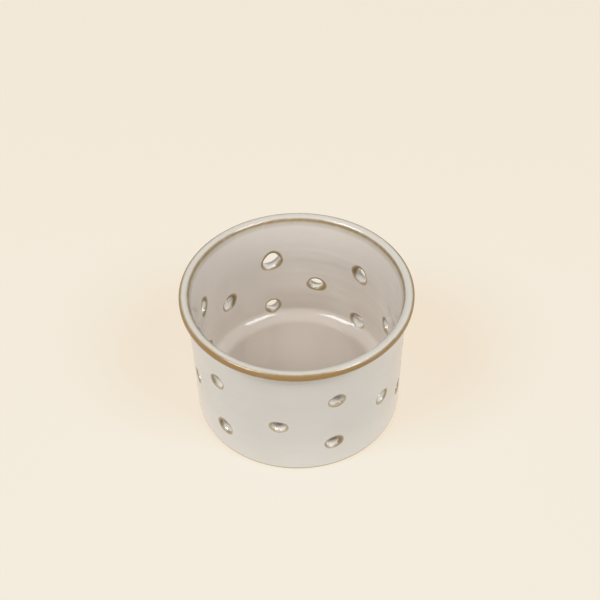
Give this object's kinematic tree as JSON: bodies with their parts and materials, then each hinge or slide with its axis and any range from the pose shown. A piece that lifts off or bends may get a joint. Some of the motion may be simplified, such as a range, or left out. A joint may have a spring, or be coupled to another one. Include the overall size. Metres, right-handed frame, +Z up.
{
  "type": "cheese mold",
  "caption": "Round glazed stoneware cheese mold: a straight-walled cup with a rolled rim and staggered drain holes through its wall.",
  "frame": {"origin": "centre of the foot, on the surface that the mold stands on", "axes": "+Z up along the axis that the cup was thrown on, towards the open rim; the viewer stands at -Y, with +X to the right"},
  "size_m": [0.1194, 0.1194, 0.0776],
  "materials": {
    "bare_clay": "iron-brown stoneware, thinly glassed on the edges",
    "outer_glaze": "warm pale grey, satin gloss",
    "liner_glaze": "warm pale grey, gloss",
    "rim_glaze": "warm pale grey, gloss",
    "hole_glaze": "warm pale grey, gloss"
  },
  "bodies": {
    "root": {"clay_body": "bare_clay", "outer_glaze": "outer_glaze", "liner_glaze": "liner_glaze", "rim_glaze": "rim_glaze", "hole_glaze": "hole_glaze"}
  },
  "joints": []
}
